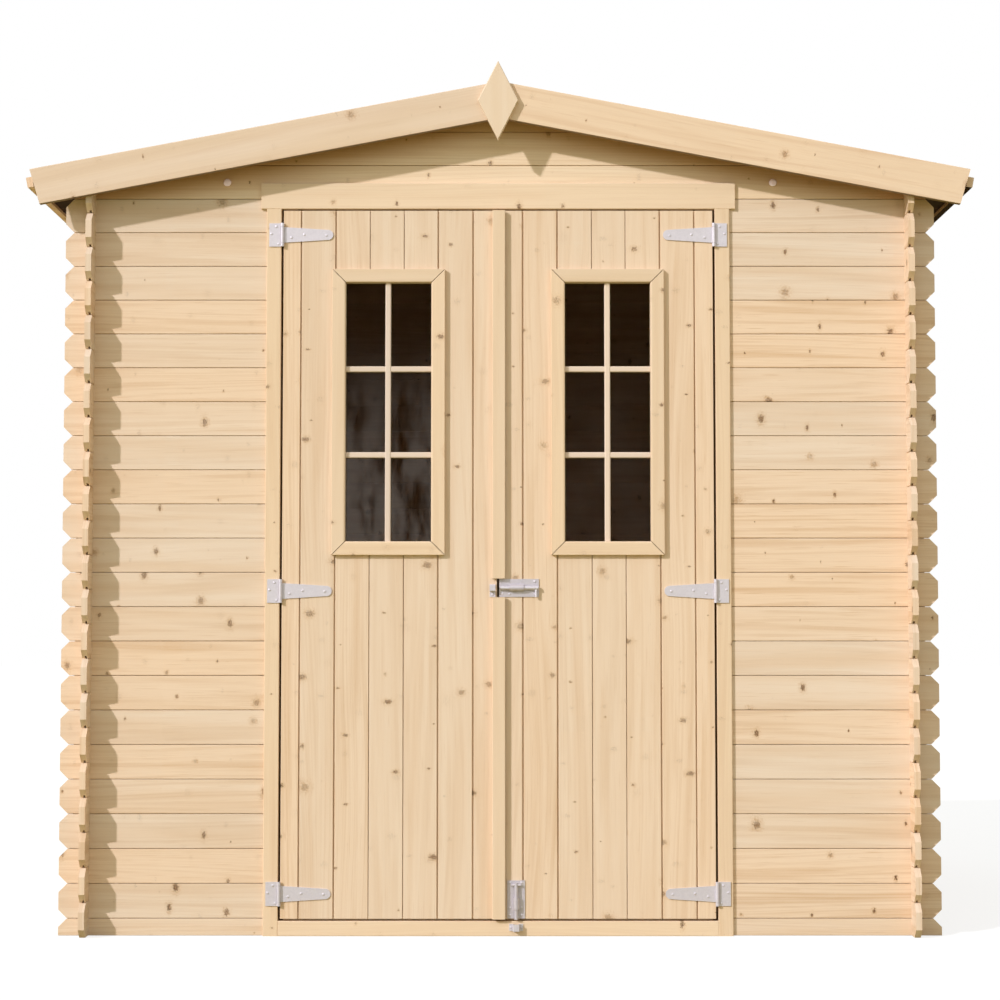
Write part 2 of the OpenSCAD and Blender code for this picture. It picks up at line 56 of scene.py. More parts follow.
# Section of a board from its low to its high edge. An eased edge drops along a quarter circle:
# drop = ease - sqrt(ease^2 - (ease - distance from the edge)^2). The back mirrors the face,
# and bends are extra points where an end cut turns or a back steps.
def boardSection(low, high, thick, easeLow=0.0, easeHigh=0.0, bends=()):
    shares = np.array([0.0, 0.1, 0.4, 1.0])
    lowSide = low + easeLow * shares if easeLow else np.array([low])
    highSide = high - easeHigh * shares[::-1] if easeHigh else np.array([high])
    between = sorted(b for b in bends if lowSide[-1] < b < highSide[0])
    across = np.concatenate([lowSide, between, highSide])
    nearLow = np.clip(1 - (across - low) / max(easeLow, 1e-9), 0, 1)
    nearHigh = np.clip(1 - (high - across) / max(easeHigh, 1e-9), 0, 1)
    drop = easeLow * (1 - np.sqrt(1 - nearLow ** 2)) + easeHigh * (1 - np.sqrt(1 - nearHigh ** 2))
    face = thick - drop
    return across, face, thick - face


# A board is its section carried straight along: section point i at share s lies at
# start(i) + s * (end(i) - start(i)) along, at its own place across and at its own depth outwards.
# The start and end cuts are functions of the place across and the depth.
def board(place, along, across, out, section, start, end, seed):
    places, face, rear = section
    ring = np.concatenate([places, places[::-1]])
    depth = np.concatenate([face, rear[::-1]])
    half, count = len(places), 2 * len(places)
    run = np.stack([start(ring, depth) + 0 * ring, end(ring, depth) + 0 * ring])
    points = place + run[..., None] * along + ring[:, None] * across + depth[:, None] * out
    grain = np.stack([run, 0 * run + ring, 0 * run + seed], axis=-1)
    i = np.arange(count)
    sides = np.stack([i, i + count, (i + 1) % count + count, (i + 1) % count], axis=1)
    k = np.arange(half - 1)
    cap = np.stack([k, k + 1, count - 2 - k, count - 1 - k], axis=1)
    faces = np.concatenate([sides, cap + 2 * count, cap[:, ::-1] + 3 * count])
    if np.dot(np.cross(along, across), out) < 0:
        faces = faces[:, ::-1]
    capGrain = np.stack([run + ring, 0 * run + depth, 0 * run + seed], axis=-1)
    return {
        "points": np.tile(points.reshape(-1, 3), (2, 1)),
        "grain": np.concatenate([grain.reshape(-1, 3), capGrain.reshape(-1, 3)]),
        "ends": np.repeat([0.0, 1.0], 2 * count),
        "faces": [faces],
    }


# A boss is an outline (n points across and upwards) drawn again at each of the given shares of
# its size and lifts outwards, closed by a point at the back and one at the front
def boss(place, across, upward, out, outline, shares, lifts, seed=0.0):
    count, rings = len(outline), len(shares)
    flat = np.asarray(shares)[:, None, None] * outline[None]
    lift = np.asarray(lifts)[:, None] + np.zeros(count)
    points = place + flat[..., :1] * across + flat[..., 1:] * upward + lift[..., None] * out
    poles = place + np.array([lifts[0], lifts[-1]])[:, None] * out
    i = np.tile(np.arange(count), rings - 1)
    ringStart = np.repeat(np.arange(rings - 1) * count, count)
    j = (i + 1) % count
    quads = np.stack([ringStart + i, ringStart + j, ringStart + count + j, ringStart + count + i], axis=1)
    n = np.arange(count)
    backFan = np.stack([n * 0 + rings * count, (n + 1) % count, n], axis=1)
    top = (rings - 1) * count
    frontFan = np.stack([n * 0 + rings * count + 1, top + n, top + (n + 1) % count], axis=1)
    if np.dot(np.cross(across, upward), out) < 0:
        quads, backFan, frontFan = quads[:, ::-1], backFan[:, ::-1], frontFan[:, ::-1]
    upAlong = np.concatenate([flat[..., 1].ravel(), [0.0, 0.0]])
    sideways = np.concatenate([flat[..., 0].ravel(), [0.0, 0.0]])
    return {
        "points": np.concatenate([points.reshape(-1, 3), poles]),
        "grain": np.stack([upAlong, sideways, 0 * upAlong + seed], axis=1),
        "ends": np.zeros(rings * count + 2),
        "faces": [quads, backFan, frontFan],
    }


def ringOutline(radius, count):
    turn = np.linspace(0, 2 * np.pi, count, endpoint=False)
    return radius * np.stack([np.cos(turn), np.sin(turn)], axis=1)


# Joins boards or bosses into one mesh object that rides on a body
def putPiece(name, parts, material, body, replaced=(), smooth=False):
    firsts = np.cumsum([0] + [len(p["points"]) for p in parts])
    faces = []
    for part, first in zip(parts, firsts):
        for own in part["faces"]:
            faces += (own + first).tolist()
    mesh = bpy.data.meshes.new(name)
    mesh.from_pydata(np.concatenate([p["points"] for p in parts]).tolist(), [], faces)
    grain = mesh.attributes.new("grain", "FLOAT_VECTOR", "POINT")
    grain.data.foreach_set("vector", np.concatenate([p["grain"] for p in parts]).ravel())
    ends = mesh.attributes.new("endGrain", "FLOAT", "POINT")
    ends.data.foreach_set("value", np.concatenate([p["ends"] for p in parts]))
    mesh.polygons.foreach_set("use_smooth", np.full(len(faces), smooth))
    mesh.update()
    piece = bpy.data.objects.new(name, mesh)
    scene.collection.objects.link(piece)
    mesh.materials.append(material)
    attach(piece, body)
    if replaced:
        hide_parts(*replaced)


# adds a shader node: numbers go into its sockets, and sockets are linked to them
def addNode(tree, kind, values=(), **settings):
    node = tree.nodes.new(kind)
    for key, value in settings.items():
        setattr(node, key, value)
    for socket, value in dict(values).items():
        if isinstance(value, bpy.types.NodeSocket):
            tree.links.new(value, node.inputs[socket])
        else:
            node.inputs[socket].default_value = value
    return node


def calc(tree, operation, *values):
    return addNode(tree, "ShaderNodeMath", enumerate(values), operation=operation).outputs[0]


def times(tree, first, second):
    return calc(tree, "MULTIPLY", first, second)


def parted(tree, place):
    return addNode(tree, "ShaderNodeSeparateXYZ", {0: place}).outputs


def vector(tree, x, y, z=0.0):
    return addNode(tree, "ShaderNodeCombineXYZ", {0: x, 1: y, 2: z}).outputs[0]


# value from low..high to toLow..toHigh, held at the ends
def spread(tree, value, low, high, toLow=0.0, toHigh=1.0, kind="LINEAR"):
    values = {0: value, 1: low, 2: high, 3: toLow, 4: toHigh}
    return addNode(tree, "ShaderNodeMapRange", values, interpolation_type=kind).outputs[0]


def mixColour(tree, factor, first, second, blend="MIX"):
    values = {0: factor, 6: first, 7: second}
    return addNode(tree, "ShaderNodeMix", values, data_type="RGBA", blend_type=blend).outputs[2]


def noise(tree, place, scale=1.0, detail=2.0, rough=0.5, dimensions="2D"):
    values = {"Vector": place, "Scale": scale, "Detail": detail, "Roughness": rough}
    return addNode(tree, "ShaderNodeTexNoise", values, noise_dimensions=dimensions).outputs[0]


def newGroup(name, takes, gives):
    group = bpy.data.node_groups.new(name, "ShaderNodeTree")
    for socket, kind in takes.items():
        group.interface.new_socket(socket, in_out="INPUT", socket_type="NodeSocket" + kind)
    for socket, kind in gives.items():
        group.interface.new_socket(socket, in_out="OUTPUT", socket_type="NodeSocket" + kind)
    return group, group.nodes.new("NodeGroupInput").outputs, group.nodes.new("NodeGroupOutput")


# knot cells for each metre along and across, noise cells and growth lines for each metre,
# reaches in knot radii, and the ranges from board to board
spruceLook = {
    "knotCells": (6.6, 11.8), "knotRadii": (1.8 * mm, 10.4 * mm), "knot": (148, 108, 70),
    "knotDark": (66, 41, 24), "knotShare": 0.82, "ragged": 260.0, "patches": 340.0, "haloPatches": 120.0,
    "haloReach": 2.9, "bowReach": 3.2, "lines": (110.0, 260.0), "wander": 55 * mm, "flame": 50 * mm,
    "figures": (0.38, 1.12), "brights": (0.92, 1.08), "rough": 0.58, "specular": 0.3, "dullSpecular": 0.06,
    "bump": (0.3, 0.5 * mm),
}


# Spruce seen along a board: growth lines that wander and part round the knots, fine fibres,
# short resin dashes and a tint for each board. Grain holds along, across (metres) and board number.
def spruceGroup():
    tree, take, give = newGroup(
        "spruceGrain",
        {"Grain": "Vector", "End Grain": "Float", "Pale": "Color", "Warm": "Color", "Line": "Color",
         "Knot": "Color", "Knots": "Float", "Figure": "Float"},
        {"Color": "Color", "Roughness": "Float", "Height": "Float"})
    along, across, seed = parted(tree, take["Grain"])
    chance = addNode(tree, "ShaderNodeTexWhiteNoise", {"W": seed}, noise_dimensions="1D")
    luck = addNode(tree, "ShaderNodeSeparateColor", {0: chance.outputs["Color"]}).outputs
    run = calc(tree, "MULTIPLY_ADD", luck[0], 41.0, along)
    side = calc(tree, "MULTIPLY_ADD", luck[1], 23.0, across)

    # noise in even cells of 1 / scale metres
    def evenNoise(scale):
        return noise(tree, vector(tree, run, side), scale)

    # knots: one cell for each 150 x 85 mm, only some of which hold a knot; a knot has a ragged edge,
    # rings and dark patches, and the wood round it is browner
    cellRun, cellSide = spruceLook["knotCells"]
    knotPlace = vector(tree, times(tree, run, cellRun), times(tree, side, cellSide))
    cell = addNode(tree, "ShaderNodeTexVoronoi", {"Vector": knotPlace, "Scale": 1.0, "Randomness": 0.85},
                   voronoi_dimensions="2D", feature="F1")
    away = addNode(tree, "ShaderNodeVectorMath", {0: knotPlace, 1: cell.outputs["Position"]},
                   operation="SUBTRACT").outputs[0]
    awayRun, awaySide, _ = parted(tree, away)
    awayRun = calc(tree, "DIVIDE", awayRun, cellRun)
    awaySide = calc(tree, "DIVIDE", awaySide, cellSide)
    cellLuck = addNode(tree, "ShaderNodeSeparateColor", {0: cell.outputs["Color"]}).outputs
    share = times(tree, take["Knots"], calc(tree, "SUBTRACT", 1.0, take["End Grain"]))
    holds = calc(tree, "LESS_THAN", cellLuck[1], share)
    size = spread(tree, calc(tree, "POWER", cellLuck[0], 1.5), 0.0, 1.0, *spruceLook["knotRadii"])
    wobble = spread(tree, evenNoise(spruceLook["ragged"]), 0.3, 0.7, 0.68, 1.4)
    squeeze = spread(tree, cellLuck[2], 0.0, 1.0, 0.9, 1.9)
    longways = calc(tree, "POWER", times(tree, awayRun, squeeze), 2.0)
    far = calc(tree, "SQRT", calc(tree, "ADD", longways, calc(tree, "POWER", awaySide, 2.0)))
    far = times(tree, far, wobble)
    radii = calc(tree, "DIVIDE", far, times(tree, size, calc(tree, "MAXIMUM", holds, 0.01)))
    core = spread(tree, radii, 1.2, 0.72)
    core = times(tree, core, spread(tree, cellLuck[2], 0.0, 0.6, 0.22, 1.0))
    rings = spread(tree, calc(tree, "SINE", times(tree, radii, 9.0)), -0.6, 1.0)
    patchy = spread(tree, evenNoise(spruceLook["patches"]), 0.42, 0.55)
    rim = calc(tree, "MAXIMUM", patchy, times(tree, rings, spread(tree, radii, 0.6, 0.95)))
    rim = times(tree, core, rim)
    halo = spread(tree, radii, spruceLook["haloReach"], 0.8, kind="SMOOTHSTEP")
    haloPatches = spread(tree, evenNoise(spruceLook["haloPatches"]), 0.35, 0.65, 0.25, 0.8)
    halo = times(tree, halo, haloPatches)

    # noise drawn out along the board, in cells of 1 / runScale by 1 / sideScale metres
    def drawnOut(sideways, runScale, sideScale, detail):
        cells = times(tree, run, runScale), times(tree, sideways, sideScale)
        return noise(tree, vector(tree, *cells), 1.0, detail)

    # growth lines lie across the board, wander slowly, run together in flames and bow round a knot
    push = spread(tree, radii, spruceLook["bowReach"], 0.5, 0.0, 0.85, "SMOOTHSTEP")
    ringSide = calc(tree, "SUBTRACT", side, times(tree, awaySide, push))
    ringSide = calc(tree, "MULTIPLY_ADD", drawnOut(side, 0.9, 5.0, 1.0), spruceLook["wander"], ringSide)
    ringSide = calc(tree, "MULTIPLY_ADD", drawnOut(side, 0.75, 9.0, 0.0), spruceLook["flame"], ringSide)
    lines = times(tree, ringSide, spread(tree, luck[2], 0.0, 1.0, *spruceLook["lines"]))
    growth = noise(tree, vector(tree, lines, times(tree, run, 0.45)), 1.0, 2.5, 0.55)
    growth = spread(tree, growth, 0.44, 0.70)
    fibre = drawnOut(side, 8.0, 640.0, 3.0)
    broad = spread(tree, drawnOut(side, 1.3, 22.0, 2.0), 0.35, 0.75, 0.0, 0.9)
    strong = calc(tree, "MULTIPLY_ADD", calc(tree, "POWER", luck[1], 2.5), 0.55, 0.09)
    masks = [times(tree, growth, strong), spread(tree, fibre, 0.3, 0.8, 0.0, 0.2)]
    for cells, low, high, most in (
            ((side, 8.0, 430.0, 1.0), 0.68, 0.78, 0.6),       # resin dashes
            ((ringSide, 2.2, 62.0, 1.5), 0.56, 0.74, 0.4),    # streaks
            ((ringSide, 1.4, 32.0, 1.0), 0.55, 0.7, 0.42)):   # broad clouds
        masks.append(spread(tree, drawnOut(*cells), low, high, 0.0, most))

    colour = mixColour(tree, luck[0], take["Pale"], take["Warm"])
    colour = mixColour(tree, broad, colour, take["Warm"])
    ownFigure = spread(tree, luck[0], 0.0, 1.0, *spruceLook["figures"])
    figure = times(tree, take["Figure"], ownFigure)
    for mask in masks:
        colour = mixColour(tree, times(tree, mask, figure), colour, take["Line"])
    colour = mixColour(tree, halo, colour, take["Line"])
    for mask, knotTone in ((core, take["Knot"]), (rim, tone(*spruceLook["knotDark"]))):
        colour = mixColour(tree, times(tree, mask, spruceLook["knotShare"]), colour, knotTone)
    colour = mixColour(tree, times(tree, take["End Grain"], 0.05), colour, take["Line"])
    bright = spread(tree, chance.outputs["Value"], 0.0, 1.0, *spruceLook["brights"])
    colour = mixColour(tree, 1.0, colour, vector(tree, bright, bright, bright), "MULTIPLY")
    tree.links.new(colour, give.inputs["Color"])
    rough = calc(tree, "MULTIPLY_ADD", growth, 0.10, spruceLook["rough"])
    tree.links.new(calc(tree, "MULTIPLY_ADD", core, -0.15, rough), give.inputs["Roughness"])
    height = calc(tree, "MULTIPLY_ADD", growth, -0.45, times(tree, fibre, 0.5))
    tree.links.new(calc(tree, "MULTIPLY_ADD", core, 0.5, height), give.inputs["Height"])
    return tree


# spangles, bloom patches and rolling lines for each metre
zincLook = {"spangles": 260.0, "bloom": 55.0, "rolled": (60.0, 1400.0), "rough": (0.36, 0.56),
            "bump": (0.12, 0.2 * mm)}


# Zinc plating: small mottled spangles, fine rolling lines and a dusty bloom
def zincGroup():
    tree, take, give = newGroup("zincBloom", {"Place": "Vector", "Bright": "Color", "Dull": "Color"},
                                {"Color": "Color", "Roughness": "Float", "Height": "Float"})
    cells = addNode(tree, "ShaderNodeTexVoronoi", {"Vector": take["Place"], "Scale": zincLook["spangles"]},
                    feature="F1")
    spangle = addNode(tree, "ShaderNodeSeparateColor", {0: cells.outputs["Color"]}).outputs[0]
    bloom = noise(tree, take["Place"], zincLook["bloom"], 3.0, 0.6, "3D")
    x, _, z = parted(tree, take["Place"])
    lines = [times(tree, axis, scale) for axis, scale in zip((x, z), zincLook["rolled"])]
    rolled = noise(tree, vector(tree, *lines))
    mix = calc(tree, "MULTIPLY_ADD", spangle, 0.25, times(tree, bloom, 0.75))
    colour = mixColour(tree, spread(tree, mix, 0.2, 0.85), take["Bright"], take["Dull"])
    tree.links.new(colour, give.inputs["Color"])
    tree.links.new(spread(tree, bloom, 0.3, 0.75, *zincLook["rough"]), give.inputs["Roughness"])
    height = calc(tree, "MULTIPLY_ADD", rolled, 0.4, times(tree, spangle, 0.3))
    tree.links.new(height, give.inputs["Height"])
    return tree


def newMaterial(name):
    material = bpy.data.materials.new(name)
    material.use_nodes = True
    tree = material.node_tree
    return material, tree, tree.nodes["Principled BSDF"]


# places a finish group and links its colour, roughness and height to the shader
def addFinish(tree, shader, group, values, bump):
    finish = addNode(tree, "ShaderNodeGroup", values, node_tree=group)
    strength, distance = bump
    bumpValues = {"Strength": strength, "Distance": distance, "Height": finish.outputs["Height"]}
    tree.links.new(finish.outputs["Color"], shader.inputs["Base Color"])
    tree.links.new(finish.outputs["Roughness"], shader.inputs["Roughness"])
    tree.links.new(addNode(tree, "ShaderNodeBump", bumpValues).outputs[0], shader.inputs["Normal"])


spruce = spruceGroup()
zincBloom = zincGroup()


def woodMaterial(name, pale, warm, line, knots, figure):
    material, tree, shader = newMaterial(name)
    grain = addNode(tree, "ShaderNodeAttribute", attribute_name="grain").outputs["Vector"]
    ends = addNode(tree, "ShaderNodeAttribute", attribute_name="endGrain").outputs["Fac"]
    values = {"Grain": grain, "End Grain": ends, "Pale": pale, "Warm": warm, "Line": line,
              "Knot": tone(*spruceLook["knot"]), "Knots": knots, "Figure": figure}
    addFinish(tree, shader, spruce, values, spruceLook["bump"])
    shader.inputs["Specular IOR Level"].default_value = spruceLook["specular"]
    return material


def zincMaterial(name, bright, dull, metallic):
    material, tree, shader = newMaterial(name)
    place = addNode(tree, "ShaderNodeTexCoord").outputs["Object"]
    values = {"Place": place, "Bright": bright, "Dull": dull}
    addFinish(tree, shader, zincBloom, values, zincLook["bump"])
    shader.inputs["Metallic"].default_value = metallic
    return material


# painted shade: darkens the faces that look down, as under the eaves
def paintShadeUnder(material, dark, share):
    tree = material.node_tree
    base = tree.nodes["Principled BSDF"].inputs["Base Color"]
    facing = addNode(tree, "ShaderNodeNewGeometry").outputs["True Normal"]
    upward = parted(tree, facing)[2]
    down = spread(tree, upward, -0.5, -0.7, 0.0, share)
    tree.links.new(mixColour(tree, down, base.links[0].from_socket, dark), base)


# each wood: pale, warm and growth line tones, then its share of knots and the strength of its figure
woods = {
    "wall": ((239, 220, 199), (230, 203, 174), (201, 163, 122), 0.52, 1.0),
    "gable": ((252, 232, 206), (243, 215, 181), (210, 171, 127), 0.52, 0.7),
    "door": ((239, 218, 194), (231, 204, 175), (203, 165, 123), 0.64, 0.9),
    "planed": ((239, 217, 191), (232, 206, 175), (207, 170, 131), 0.34, 0.4),
    "fascia": ((235, 212, 188), (227, 201, 171), (200, 161, 123), 0.66, 0.7),
    "frame": ((236, 212, 184), (229, 202, 169), (203, 165, 125), 0.36, 0.5),
    "bar": ((229, 210, 194), (224, 203, 183), (205, 174, 148), 0.06, 0.4),
    "roof": ((236, 214, 188), (229, 202, 172), (202, 164, 123), 0.40, 0.8),
    # rebate: dark wood for the side stops, painted shade in the deep gaps beside the leaves
    "rebate": ((104, 76, 50), (94, 66, 42), (74, 50, 32), 0.20, 0.5),
    "reveal": ((236, 212, 184), (229, 202, 169), (203, 165, 125), 0.20, 0.5),
}
wood = {}
for name, (pale, warm, line, knots, figure) in woods.items():
    wood[name] = woodMaterial(name + "Spruce", tone(*pale), tone(*warm), tone(*line), knots, figure)
# painted shade for the undersides of the roof boards and fascias: dark tone and its share
undersideShadePaint = {"roof": ((50, 26, 19), 1.0), "fascia": ((84, 58, 38), 0.75)}  # dark tone and its share
for name, (dark, share) in undersideShadePaint.items():
    paintShadeUnder(wood[name], tone(*dark), share)
for name in ("roof", "rebate"):
    shader = wood[name].node_tree.nodes["Principled BSDF"]
    shader.inputs["Specular IOR Level"].default_value = spruceLook["dullSpecular"]
zinc = zincMaterial("zincPlate", tone(222, 216, 223), tone(207, 201, 209), 0.35)
dullZinc = zincMaterial("dullZincPlate", tone(212, 205, 211), tone(193, 186, 194), 0.35)
capZinc = zincMaterial("capZinc", tone(252, 230, 220), tone(242, 218, 208), 0.86)

# Window glass: a warm tint, a faint film and a painted reflection, a cloudy coat sheen low on the panes,
# stronger on the left leaf; light passes it on its way to the inside. Scales are cells for each metre,
# heights in metres.
pane = {"clear": (230, 206, 178), "tinted": (206, 176, 146), "reflected": (150, 122, 98), "film": 14.0,
        "rough": (0.02, 0.06), "clouds": (14.0, 5.0), "sheenFades": (1.62, 1.15), "sheenSides": (0.85, 0.15),
        "shadowAlpha": 0.12, "bend": 1.25}
glassMaterial, glassTree, glassShader = newMaterial("windowGlass")
panePlace = addNode(glassTree, "ShaderNodeTexCoord").outputs["Object"]
film = noise(glassTree, panePlace, pane["film"], 4.0, 0.6, "3D")
glassTree.links.new(spread(glassTree, film, 0.35, 0.8, *pane["rough"]), glassShader.inputs["Roughness"])
tint = mixColour(glassTree, film, tone(*pane["clear"]), tone(*pane["tinted"]))
glassTree.links.new(tint, glassShader.inputs["Base Color"])
paneRays = addNode(glassTree, "ShaderNodeLightPath").outputs
passing = calc(glassTree, "MAXIMUM", paneRays["Is Shadow Ray"], paneRays["Is Diffuse Ray"])
alpha = spread(glassTree, passing, 0.0, 1.0, 1.0, pane["shadowAlpha"])
glassTree.links.new(alpha, glassShader.inputs["Alpha"])
# painted reflection: the coat sheen is placed by height and side, low on the panes and stronger on the left
# leaf
paneX, _, paneZ = parted(glassTree, panePlace)
cells = [times(glassTree, axis, scale) for axis, scale in zip((paneX, paneZ), pane["clouds"])]
clouds = spread(glassTree, noise(glassTree, vector(glassTree, *cells), 1.0, 5.0, 0.65), 0.36, 0.56)
paintedSheen = times(glassTree, spread(glassTree, paneZ, *pane["sheenFades"], kind="SMOOTHSTEP"), clouds)
paintedSheen = times(glassTree, paintedSheen, spread(glassTree, paneX, -0.1, 0.1, *pane["sheenSides"]))
glassTree.links.new(paintedSheen, glassShader.inputs["Coat Weight"])
glassShader.inputs["IOR"].default_value = pane["bend"]
glassShader.inputs["Specular Tint"].default_value = tone(*pane["reflected"])
glassShader.inputs["Transmission Weight"].default_value = 1.0
print("materials made")


# Wall boards: front rows are centred on whole multiples of a board's height, side rows half way
# between them, so that the ends interlock. Each end is cut at 45 degrees above and below.
walls = {"height": 90 * mm, "rows": 22, "gableRows": 3, "gap": 1.4 * mm, "ease": 1.3 * mm, "slot": 6 * mm,
         "short": 13 * mm, "topClear": 3 * mm}
rowHeight = walls["height"]
notch = rowHeight / 4
frontLow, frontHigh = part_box("front_wall_left")
sideLow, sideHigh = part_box("right_wall")
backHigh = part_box("back_wall")[1]
gableLow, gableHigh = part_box("front_gable")
wallThick = frontHigh.y - frontLow.y
wallTop = gableLow.z
ridgeUnder = gableHigh.z
endX = gableHigh.x
roof = {"angle": math.radians(10.7), "boardWidth": 90 * mm, "gap": 1.4 * mm, "ease": 1.3 * mm,
        "thick": 16 * mm, "length": 1250 * mm}
rise = math.tan(roof["angle"])

# tongue: a strip set back in the thickness that fills the joint past a high edge
tongue = {"share": 0.34, "low": 0.22, "lap": 2 * mm, "reach": 5 * mm}


def tongueStrip(place, along, across, out, edge, thick, start, end, seed):
    section = boardSection(edge - tongue["lap"], edge + tongue["reach"], tongue["share"] * thick)
    return board(place + tongue["low"] * thick * out, along, across, out, section, start, end, seed)


# A wall board is its body, a lip on each side of the groove in its lower edge, and a tongue on
# its upper edge that stops short of the cut ends
def wallBoard(place, along, out, low, high, start, end, seed, hasGroove=True, hasTongue=True):
    gap, ease = walls["gap"] / 2, walls["ease"]
    slot = walls["slot"] if hasGroove else 0.0
    bends = (notch - rowHeight / 2, 0.0, rowHeight / 2 - notch)
    low, high = low + gap, high - gap
    body = boardSection(low + slot, high, wallThick, 0.0 if slot else ease, ease, bends)
    parts = [board(place, along, up, out, body, start, end, seed)]
    if slot:
        across, face, rear = boardSection(low, low + slot, wallThick, ease, 0.0)
        behind, before = tongue["low"] * wallThick, (tongue["low"] + tongue["share"]) * wallThick
        parts.append(board(place, along, up, out, (across, face, 0 * face + before), start, end, seed))
        parts.append(board(place, along, up, out, (across, 0 * face + behind, rear), start, end, seed))
    if hasTongue:
        parts.append(tongueStrip(place, along, up, out, high, wallThick,
                                 lambda a, d: start(a, d) + walls["short"],
                                 lambda a, d: end(a, d) - walls["short"], seed))
    return parts


# board end: set back by as much as the place across passes the middle half of the board
def logEnd(reach, sign=1):
    return lambda across, depth: sign * (reach - np.clip(np.abs(across) - notch, 0, notch))


def squareEnd(reach):
    return lambda across, depth: reach


def frontRows(start, end, face, out, firstSeed):
    along = right if out[1] < 0 else -right
    rows = []
    for row in range(walls["rows"]):
        low = 0.0 if row == 0 else -rowHeight / 2
        centre = np.array([0.0, face, row * rowHeight]) - wallThick * out
        rows += wallBoard(centre, along, out, low, rowHeight / 2, start, end, firstSeed + row,
                          row > 0, row < walls["rows"] - 1)
    return rows


leftCut, rightCut = logEnd(endX, -1), logEnd(endX)
putPiece("frontBoardsLeft", frontRows(leftCut, squareEnd(frontHigh.x), frontLow.y, -back, 100),
         wood["wall"], "shed", ["front_wall_left"])
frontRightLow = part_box("front_wall_right")[0]
putPiece("frontBoardsRight", frontRows(squareEnd(frontRightLow.x), rightCut, frontLow.y, -back, 140),
         wood["wall"], "shed", ["front_wall_right"])
putPiece("backBoards", frontRows(leftCut, rightCut, backHigh.y, back, 180),
         wood["wall"], "shed", ["back_wall"])


# Painted shade: gable wood is browner close under the roof, in the eaves' shade; the depth below the roof is
# ridge - height - |x| * rise
roofShadePaint = {"brown": (0.74, 0.56, 0.48, 1.0), "full": 35 * mm, "gone": 132 * mm}


def paintShadeUnderRoof(material):
    tree = material.node_tree
    base = tree.nodes["Principled BSDF"].inputs["Base Color"]
    place = addNode(tree, "ShaderNodeTexCoord").outputs["Object"]
    x, _, z = parted(tree, place)
    roofHere = calc(tree, "MULTIPLY_ADD", calc(tree, "ABSOLUTE", x), -rise, ridgeUnder)
    below = calc(tree, "SUBTRACT", roofHere, z)
    near = spread(tree, below, roofShadePaint["gone"], roofShadePaint["full"], kind="SMOOTHSTEP")
    shadePainted = mixColour(tree, near, base.links[0].from_socket, roofShadePaint["brown"], "MULTIPLY")
    tree.links.new(shadePainted, base)


paintShadeUnderRoof(wood["gable"])


# gable boards end where the roof's underside crosses them, the lowest one also in a cut end:
# end = min(log end, (ridge - height) / rise)
def gableRows(face, out, firstSeed):
    along = right if out[1] < 0 else -right
    rows = []
    for number in range(walls["gableRows"]):
        height = wallTop + (number + 0.5) * rowHeight
        top = min(rowHeight / 2, ridgeUnder - height - walls["gap"])

        def reach(across, depth, height=height, number=number):
            slope = np.maximum(ridgeUnder - height - across, 0) / rise
            cut = np.clip(-across - notch, 0, notch) if number == 0 else 0.0
            return np.minimum(endX - cut, slope)

        centre = np.array([0.0, face, height]) - wallThick * out
        rows += wallBoard(centre, along, out, -rowHeight / 2, top,
                          lambda across, depth, reach=reach: -reach(across, depth), reach,
                          firstSeed + number, True, number < walls["gableRows"] - 1)
    return rows


for place, face, out, seed in (("front", frontLow.y, -back, 230), ("back", backHigh.y, back, 240)):
    putPiece(place + "GableBoards", gableRows(face, out, seed), wood["gable"], "shed",
             [place + "_gable"])


def sideRows(sign, firstSeed):
    out, along = sign * right, sign * back
    middle = (sideLow.y + sideHigh.y) / 2
    half = (sideHigh.y - sideLow.y) / 2
    rows = []
    for row in range(walls["rows"]):
        height = (row + 0.5) * rowHeight
        last = row == walls["rows"] - 1
        top = sideHigh.z - walls["topClear"] - height if last else rowHeight / 2
        centre = np.array([sign * (sideHigh.x - wallThick), middle, height])
        rows += wallBoard(centre, along, out, -rowHeight / 2, top, logEnd(half, -1), logEnd(half),
                          firstSeed + row, row > 0, not last)
    return rows


putPiece("leftBoards", sideRows(-1, 260), wood["wall"], "shed", ["left_wall"])
putPiece("rightBoards", sideRows(1, 290), wood["wall"], "shed", ["right_wall"])
print("walls boarded")


# Roof: a point on a slope is u down it from the ridge and v square to it above the boards' top
roofLow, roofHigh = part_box("roof_right")
roofThick, roofLength = roof["thick"], roof["length"]
ridgeTop = roofHigh.z
fascia = {"width": 96 * mm, "rise": 17 * mm, "cut": 10 * mm, "ease": 2.0 * mm}
batten = {"width": 27 * mm, "thick": 16 * mm, "ease": 1.5 * mm}


def slopeAxes(sign):
    sine, cosine = math.sin(roof["angle"]), math.cos(roof["angle"])
    return np.array([sign * cosine, 0, -sine]), np.array([sign * sine, 0, cosine])


# the ridge cut is upright: u = -v * tan(angle), with v below zero inside the boards
def roofBoards(sign, firstSeed):
    down, normal = slopeAxes(sign)
    count = round((roofHigh.y - roofLow.y) / roof["boardWidth"])
    width = (roofHigh.y - roofLow.y) / count
    gap = roof["gap"] / 2
    section = boardSection(gap - width / 2, width / 2 - gap, roofThick, roof["ease"], roof["ease"])
    rows = []
    for row in range(count):
        middle = roofLow.y + (row + 0.5) * width
        place = np.array([0, middle, ridgeTop]) - roofThick * normal
        cuts = (lambda across, depth: (roofThick - depth) * rise), squareEnd(roofLength)
        rows.append(board(place, down, back, normal, section, *cuts, firstSeed + row))
        if row < count - 1:
            rows.append(tongueStrip(place, down, back, normal, width / 2 - gap, roofThick, *cuts,
                                    firstSeed + row))
    return rows


putPiece("roofBoardsLeft", roofBoards(-1, 320), wood["roof"], "shed", ["roof_left"])
putPiece("roofBoardsRight", roofBoards(1, 350), wood["roof"], "shed", ["roof_right"])


